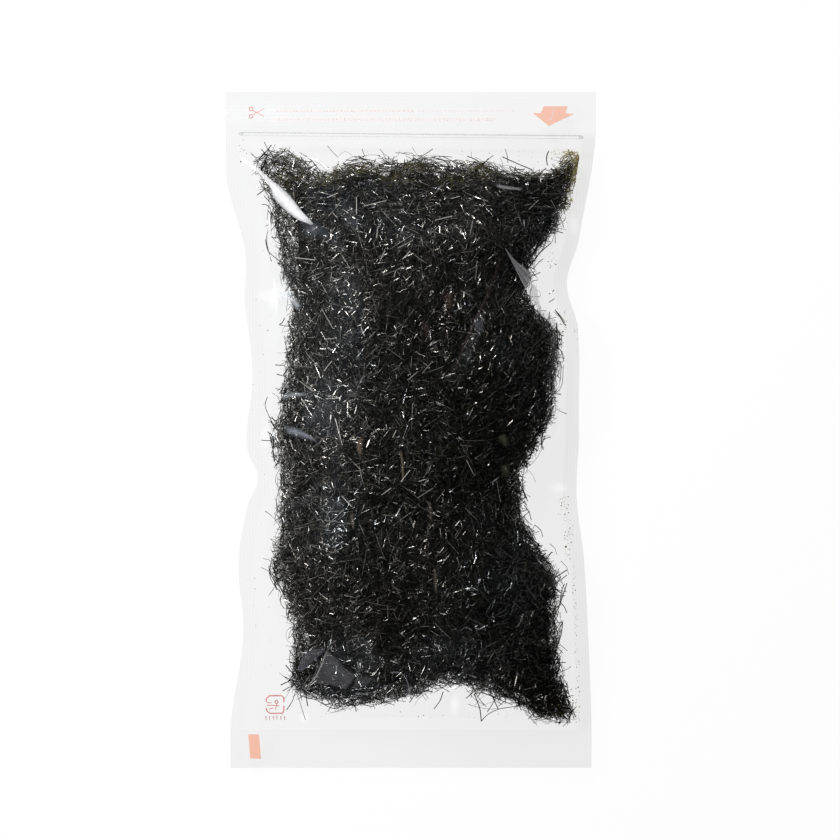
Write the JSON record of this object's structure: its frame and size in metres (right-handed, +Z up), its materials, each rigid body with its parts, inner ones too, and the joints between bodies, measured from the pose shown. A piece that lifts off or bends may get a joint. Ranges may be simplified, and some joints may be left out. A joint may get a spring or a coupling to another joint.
{
  "type": "shredded nori pouch",
  "caption": "Flat clear zip pouch packed with very fine dark shredded nori, with sealed sides and foot, a press zip and a plain orange print, lying on its back.",
  "frame": {"origin": "middle of the pouch's outer box, on the surface that it lies on", "axes": "+Z up through the shown face, +Y along the pouch towards the zip and header, +X to the right seen from above"},
  "size_m": [0.14, 0.256, 0.0335],
  "materials": {
    "film": "clear glossy film",
    "nori": "dry, semi-gloss, near black with an olive tint",
    "dust": "dry crumbs, olive",
    "print": "flat salmon orange ink"
  },
  "bodies": {
    "root": {"bag": "film"}
  },
  "joints": []
}
